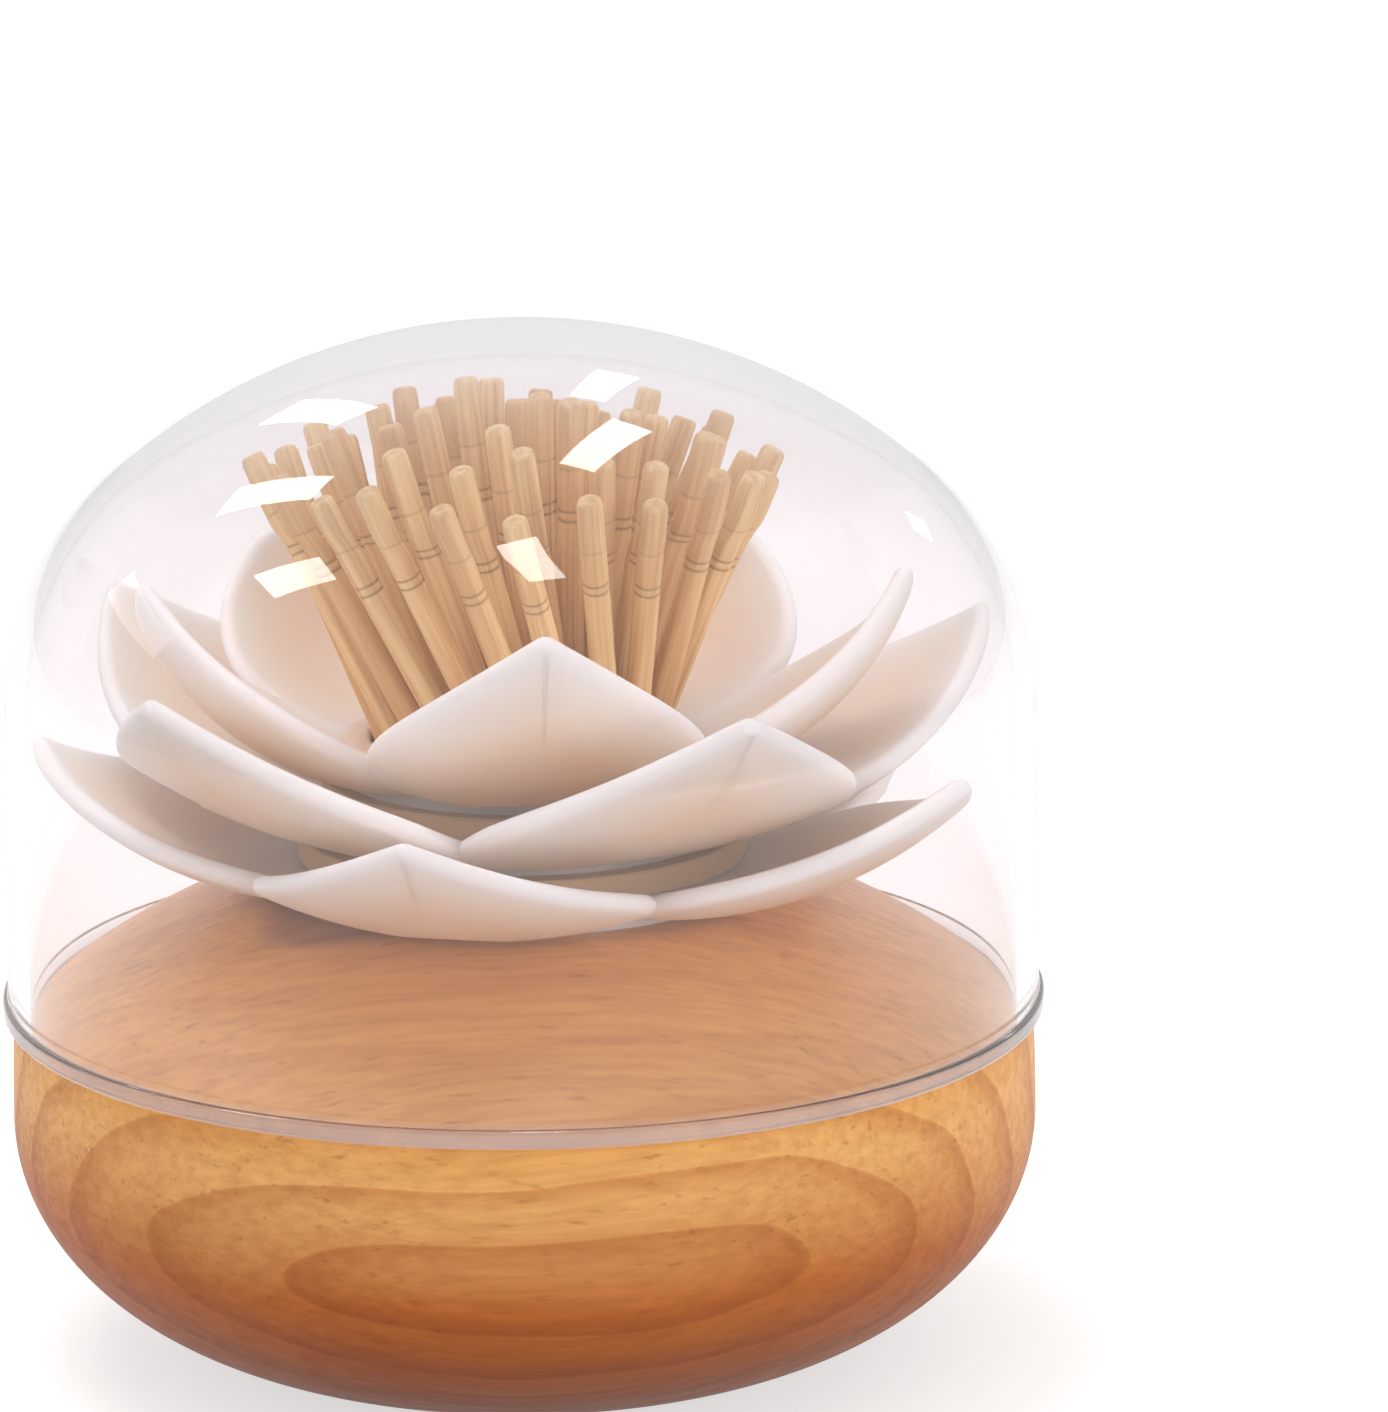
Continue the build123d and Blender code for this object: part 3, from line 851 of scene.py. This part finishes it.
# Grooves turned into each pick: how far below its top, how deep, and how dark their painted shade.
GROOVES = ((10.0, 0.8), (9.1, 0.8), (5.2, 0.35))
GROOVE_HALF = 0.22
PICK_STEPS = 18
# Gap under the picks' points, and between the outer ring and the cup's wall.
POINT_GAP = 0.25
WALL_GAP = 0.3


def pick_shape(size):
    """One toothpick, point down at the origin, with its turned grooves near the top."""
    radius, reach = size.diameter / MM / 2, size.pick_length / MM
    point, taper, depth = size.point / MM / 2, size.taper / MM, size.groove_depth / MM
    outline = [(0.0, 0.0, 0.0), (point, 0.05, 0.0)]
    for index in range(1, 7):
        share = index / 6
        outline.append((point + (radius - point) * sin(share * pi / 2), taper * share, 0.0))
    for height in (20.0, 30.0, 40.0, 48.0):
        outline.append((radius, height, 0.0))
    for below, mark in GROOVES:
        centre = reach - below
        outline.append((radius, centre - GROOVE_HALF, 0.0))
        outline.append((radius - depth * mark, centre, mark))
        outline.append((radius, centre + GROOVE_HALF, 0.0))
    # The marks of the blunt top paint shade on it.
    outline += [
        (radius, reach - 2.0, 0.0), (radius - 0.03, reach - 0.5, 0.0), (radius - 0.14, reach - 0.14, 0.1),
        (radius - 0.32, reach, 0.25), (radius * 0.4, reach - 0.02, 0.3), (0.0, reach - 0.05, 0.5),
    ]
    shape = bmesh.new()
    on_pick = shape.verts.layers.float_vector.new("on_pick")
    groove = shape.verts.layers.float.new("groove")
    rings = []
    for across, height, mark in outline:
        rings.append(add_ring(shape, across, height, PICK_STEPS))
        for vertex in rings[-1]:
            vertex[on_pick] = vertex.co
            vertex[groove] = mark
    join_rings(shape, zip(rings, rings[1:]), PICK_STEPS)
    return shape


def ring_of_picks():
    """Geometry nodes that fan one ring of picks: lean, step aside, then turn about the axis."""
    floats = dict.fromkeys(("Lean", "Aside", "Waist", "Foot", "Stagger", "Phase"), "Float")
    kinds = {"Pick": "Geometry", "Count": "Int", **floats, "Seed": "Int", "Material": "Material"}
    tree, given = node_group("Pick Ring", "Picks", **kinds)
    index = put(tree, "GeometryNodeInputIndex").outputs[0]

    golden = maths(tree, "FRACT", maths(tree, "MULTIPLY", index, (sqrt(5) - 1) / 2))
    lift = maths(tree, "MULTIPLY", golden, given["Stagger"])
    below_waist = maths(tree, "DIVIDE", given["Waist"], maths(tree, "COSINE", given["Lean"]))
    drop = combined(tree, Z=maths(tree, "SUBTRACT", lift, below_waist))
    spread = {"Min": (-0.006, -0.006, 0.0), "Max": (0.006, 0.006, 2 * pi), "Seed": given["Seed"]}
    spun = put(tree, "FunctionNodeRandomValue", spread, data_type="FLOAT_VECTOR").outputs[0]
    points = put(tree, "GeometryNodePoints", {"Count": given["Count"]}).outputs[0]
    inputs = {"Points": points, "Instance": given["Pick"], "Rotation": spun}
    picks = put(tree, "GeometryNodeInstanceOnPoints", inputs).outputs[0]

    def shifted(picks, by):
        inputs = {"Instances": picks, "Translation": by, "Local Space": False}
        return put(tree, "GeometryNodeTranslateInstances", inputs).outputs[0]

    def tilted(picks, by):
        inputs = {"Instances": picks, "Rotation": by, "Local Space": False}
        return put(tree, "GeometryNodeRotateInstances", inputs).outputs[0]

    picks = shifted(picks, drop)
    picks = tilted(picks, combined(tree, Y=given["Lean"]))
    height = maths(tree, "ADD", given["Waist"], given["Foot"])
    picks = shifted(picks, combined(tree, Y=given["Aside"], Z=height))
    part = maths(tree, "DIVIDE", maths(tree, "ADD", index, given["Phase"]), given["Count"])
    azimuth = maths(tree, "MULTIPLY", part, 2 * pi)
    picks = tilted(picks, combined(tree, Z=azimuth))

    tone = put(tree, "FunctionNodeRandomValue", {"Seed": given["Seed"]}, data_type="FLOAT").outputs[1]
    inputs = {"Geometry": picks, "Name": "tone"}
    toned = put(tree, "GeometryNodeStoreNamedAttribute", inputs, data_type="FLOAT", domain="INSTANCE")
    tree.links.new(tone, next(s for s in toned.inputs if s.name == "Value" and s.enabled))
    real = put(tree, "GeometryNodeRealizeInstances", {"Geometry": toned.outputs[0]}).outputs[0]
    finished = set_material(tree, real, given["Material"])
    put(tree, "NodeGroupOutput", {"Picks": finished})
    return tree


class HOLDER_OT_toothpicks(bpy.types.Operator):
    """Fan the bundle of toothpicks out of the cup, ring by ring"""

    bl_idname = "holder.toothpicks"
    bl_label = "Toothpicks"
    bl_options = {"REGISTER", "UNDO"}

    def execute(self, context):
        size = context.scene.holder_picks
        wood = pick_wood(size)
        tree = ring_of_picks()
        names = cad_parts
        outer = sorted(name for name in names if name.startswith("toothpick_outer"))
        second = sorted(name for name in names if name.startswith("toothpick_second"))
        rings = (
            (4, len(outer), outer),
            (3, len(second), second),
            (2, 12, ["toothpicks_third_ring"]),
            (1, 6, ["toothpicks_fourth_ring"]),
            (0, 1, ["toothpick_centre"]),
        )
        foot = low("pick_cup") + CUP_FLOOR + POINT_GAP
        waist = (high("pick_cup") - foot) / 2
        reach = CUP_INSIDE - size.diameter / MM / 2 - WALL_GAP
        outermost = rings[0][0]
        outer_lean = sqrt(reach**2 - (outermost * size.ring_pitch / MM) ** 2) / waist
        for ring, count, nodes in rings:
            picks = solid(f"toothpicks_ring_{ring}", pick_shape(size), sharp=60)
            grown(
                picks, tree, Count=count, Lean=atan2(outer_lean * ring, outermost),
                Aside=ring * size.ring_pitch, Waist=waist * MM, Foot=foot * MM, Stagger=size.stagger,
                Phase=ring / 2, Seed=ring + 3, Material=wood,
            )
            dressed(picks, wood, STAND, "pick_wood", *nodes)
        return {"FINISHED"}


# ------ operators: dome


class HOLDER_OT_dome(bpy.types.Operator):
    """Mould the clear dome with its lip"""

    bl_idname = "holder.dome"
    bl_label = "Clear Dome"
    bl_options = {"REGISTER", "UNDO"}

    def execute(self, context):
        size = context.scene.holder_dome
        rim, top, lip = low("dome"), high("dome"), half_width("dome")
        wall, crown_wall = size.wall / MM, size.crown_wall / MM
        side = size.side_height / MM
        edge = lip - size.lip_overhang / MM
        spring = edge - side * tan(size.draft)
        lip_top = rim + size.lip_height / MM
        small = (lip - edge) * 0.9

        def crown(spring_radius, shoulder_round, top_level):
            across = spring_radius - shoulder_round * cos(size.draft)
            centre = rim + side - shoulder_round * sin(size.draft)
            height = top_level - centre
            crown_round = (across**2 + height**2 - shoulder_round**2) / (2 * (height - shoulder_round))
            meet = atan2(crown_round - height, across) * 180 / pi
            line = sweep((across, centre), shoulder_round, size.draft * 180 / pi, meet, 40)
            line += sweep((0, top_level - crown_round), crown_round, meet, 90, 40)[1:]
            line[-1] = (0.0, top_level)
            return line

        shoulder = size.shoulder_round / MM
        outer = crown(spring, shoulder, top)
        inner = crown(spring - wall, shoulder - wall, top - crown_wall)
        outline = [(edge - wall, rim), (lip - small, rim)]
        outline += sweep((lip - small, rim + small), small, -90, 0, 6)[1:]
        outline += sweep((lip - small, lip_top - small), small, 0, 90, 6)
        outline.append((edge, lip_top))
        for share in (0.2, 0.4, 0.6, 0.8):
            outline.append((edge + (spring - edge) * share, lip_top + (rim + side - lip_top) * share))
        outline += outer
        inside = list(reversed(inner))
        for share in (0.2, 0.4, 0.6, 0.8):
            inside.append((inner[0][0] + (edge - wall - inner[0][0]) * share, rim + side * (1 - share)))
        outline += inside
        clear = turned("clear_dome", outline, steps=256)
        dressed(clear, clear_plastic(size), DOME, "clear_plastic", "dome")
        return {"FINISHED"}


# ------ operators: stage


# Window panes mirrored in the dome: azimuth, elevation, width and height in degrees, and brightness.
PANES = (
    (111, 37, 4.5, 14, 1.0),
    (134, 49, 5, 14, 1.0),
    (178, 56, 10, 12, 1.0),
    (80, 42, 3.5, 12, 1.0),
    (70, 61, 4.5, 16, 1.0),
    (290, 84, 6, 14, 1.0),
    (50, 22, 5, 4, 1.0),
    (161, 25, 26, 7, 0.15),
)
PANE_DISTANCE = 1.5
# Lamps: name, place and side in metres, and the setting that holds their power.
LAMPS = (
    ("key_light", (0.9, -0.8, 0.28), 0.6, "key_watts"),
    ("fill_light", (-0.9, -0.6, 0.3), 0.6, "fill_watts"),
    ("top_light", (-0.25, 0.1, 1.0), 0.5, "top_watts"),
)
MIDDLE = (0, 0, 0.05)
# The camera's frame and focal length in pixels, where the ledge's centre lies in the frame,
# how far away and how high above the level it stands, and how it is rolled.
FRAME_WIDTH, FRAME_HEIGHT = 1388.0, 1412.0
FOCAL_LENGTH = 6747.0
LEDGE_ACROSS, LEDGE_DOWN = 523.6, 996.8
CAMERA_DISTANCE, CAMERA_RISE, CAMERA_ROLL = 0.65, 16.0, -0.63
LEDGE_LEVEL = 0.0345
SENSOR = 36.0
# How bright the floor glows, and how much light the world gives, beside white for the camera.
FLOOR_GLOW = 0.62
WORLD_LIGHT = 0.72


def softbox(name, place, target, width, height, watts, **seen):
    """An area light that faces a point of the holder."""
    data = bpy.data.lights.new(name, "AREA")
    data.shape = "RECTANGLE"
    data.size, data.size_y, data.energy = width, height, watts
    lamp = bpy.data.objects.new(name, data)
    lamp.location = place
    lamp.rotation_euler = (Vector(target) - Vector(place)).to_track_quat("-Z", "Y").to_euler()
    for key, value in seen.items():
        setattr(lamp, "visible_" + key, value)
    bpy.context.scene.collection.objects.link(lamp)
    return lamp


def lay_floor(size):
    """A plain paper floor that looks white and keeps the holder's shadow."""
    shape = bmesh.new()
    bmesh.ops.create_grid(shape, x_segments=4, y_segments=4, size=size.floor_size / 2)
    floor = solid("floor", shape)
    material, tree, shader = finish_material("pale_floor", Roughness=0.9, Specular_IOR_Level=0.1)
    paper = noise(tree, on_object(tree), scale=300.0)
    tint = ramp(tree, paper, (0.0, tinted(size.floor_tint)), (1.0, tinted(size.floor_tint, 0.985)))
    wire(tree, shader, color=tint)
    path = put(tree, "ShaderNodeLightPath").outputs
    mirrored = maths(tree, "MAXIMUM", path["Is Glossy Ray"], path["Is Transmission Ray"])
    seen = maths(tree, "MAXIMUM", path["Is Camera Ray"], mirrored)
    glow = maths(tree, "MULTIPLY", seen, FLOOR_GLOW)
    shine = put(tree, "ShaderNodeEmission", {"Color": (1, 1, 1, 1), "Strength": glow})
    both = put(tree, "ShaderNodeAddShader", {0: shader.outputs[0], 1: shine.outputs[0]})
    tree.links.new(both.outputs[0], tree.nodes["Material Output"].inputs["Surface"])
    floor.data.materials.append(material)


def light_world(scene):
    """An even white world that is plain white to the camera and through the dome."""
    world = bpy.data.worlds.new("studio")
    world.use_nodes = True
    scene.world = world
    tree = world.node_tree
    path = put(tree, "ShaderNodeLightPath").outputs
    seen = maths(tree, "MAXIMUM", path["Is Camera Ray"], path["Is Transmission Ray"])
    strength = maths(tree, "ADD", maths(tree, "MULTIPLY", seen, 1.0 - WORLD_LIGHT), WORLD_LIGHT)
    tree.links.new(strength, tree.nodes["Background"].inputs["Strength"])
    tree.nodes["Background"].inputs["Color"].default_value = (1, 1, 1, 1)


def set_camera(scene):
    """A long lens in front of the holder, looking a little down on it."""
    camera = bpy.data.objects.new("camera", bpy.data.cameras.new("camera"))
    camera.data.sensor_fit = "HORIZONTAL"
    camera.data.sensor_width = SENSOR
    camera.data.lens = FOCAL_LENGTH * SENSOR / FRAME_WIDTH
    camera.data.shift_x = (FRAME_WIDTH / 2 - LEDGE_ACROSS) / FRAME_WIDTH
    camera.data.shift_y = (LEDGE_DOWN - FRAME_HEIGHT / 2) / FRAME_WIDTH
    camera.data.clip_start, camera.data.clip_end = 0.01, 50.0
    rise = radians(CAMERA_RISE)
    place = Vector((0, -CAMERA_DISTANCE * cos(rise), LEDGE_LEVEL + CAMERA_DISTANCE * sin(rise)))
    roll = Matrix.Rotation(radians(CAMERA_ROLL), 4, "Z")
    camera.matrix_world = Matrix.Translation(place) @ Matrix.Rotation(pi / 2 - rise, 4, "X") @ roll
    scene.collection.objects.link(camera)
    scene.camera = camera


class HOLDER_OT_stage(bpy.types.Operator):
    """Lay the plain floor, set the soft lights and the camera"""

    bl_idname = "holder.stage"
    bl_label = "Stage"
    bl_options = {"REGISTER", "UNDO"}

    def execute(self, context):
        scene = context.scene
        size = scene.holder_stage
        scene.view_settings.view_transform = "Standard"

        lay_floor(size)
        light_world(scene)
        for name, place, side, power_name in LAMPS:
            watts = getattr(size, power_name)
            softbox(name, place, MIDDLE, side, side, watts, glossy=False, transmission=False)
        for number, (azimuth, elevation, wide, tall, glow) in enumerate(PANES):
            turn, rise = radians(azimuth), radians(elevation)
            toward = Vector((cos(turn) * cos(rise), sin(turn) * cos(rise), sin(rise)))
            width = 2 * PANE_DISTANCE * tan(radians(wide) / 2)
            height = 2 * PANE_DISTANCE * tan(radians(tall) / 2)
            watts = size.pane_glow * glow * width * height * pi
            place = Vector(MIDDLE) + toward * PANE_DISTANCE
            seen = {"diffuse": False, "transmission": False}
            softbox(f"pane_{number}", place, MIDDLE, width, height, watts, **seen)
        set_camera(scene)
        return {"FINISHED"}


# ------ panel and registration


class HOLDER_PT_panel(bpy.types.Panel):
    """Every piece of the holder, with its sizes and colours"""

    bl_idname = "HOLDER_PT_panel"
    bl_label = "Toothpick Holder"
    bl_space_type = "VIEW_3D"
    bl_region_type = "UI"
    bl_category = "Toothpick Holder"

    def draw(self, context):
        for group, _, operators in SECTIONS:
            box = self.layout.box()
            settings = getattr(context.scene, group)
            for name in settings.bl_rna.properties.keys():
                if name not in ("rna_type", "name"):
                    box.prop(settings, name)
            for operator in operators:
                box.operator(operator.bl_idname)


# Each part's settings, their class and the operators that make it.
SECTIONS = (
    ("holder_base", HolderBase, (HOLDER_OT_turned_base, HOLDER_OT_fastening)),
    ("holder_flower", HolderFlower, (HOLDER_OT_petal_tiers, HOLDER_OT_spacers)),
    ("holder_picks", HolderPicks, (HOLDER_OT_toothpicks,)),
    ("holder_dome", HolderDome, (HOLDER_OT_dome,)),
    ("holder_stage", HolderStage, (HOLDER_OT_stage,)),
)


def register():
    for group, settings, operators in SECTIONS:
        bpy.utils.register_class(settings)
        setattr(bpy.types.Scene, group, bpy.props.PointerProperty(type=settings))
        for operator in operators:
            bpy.utils.register_class(operator)
    bpy.utils.register_class(HOLDER_PT_panel)


def unregister():
    bpy.utils.unregister_class(HOLDER_PT_panel)
    for group, settings, operators in reversed(SECTIONS):
        for operator in operators:
            bpy.utils.unregister_class(operator)
        delattr(bpy.types.Scene, group)
        bpy.utils.unregister_class(settings)


def main():
    register()
    bpy.ops.holder.turned_base()
    bpy.ops.holder.fastening()
    bpy.ops.holder.petal_tiers()
    bpy.ops.holder.spacers()
    bpy.ops.holder.toothpicks()
    bpy.ops.holder.dome()
    bpy.ops.holder.stage()
    bpy.context.view_layer.update()


if __name__ == "__main__":
    main()
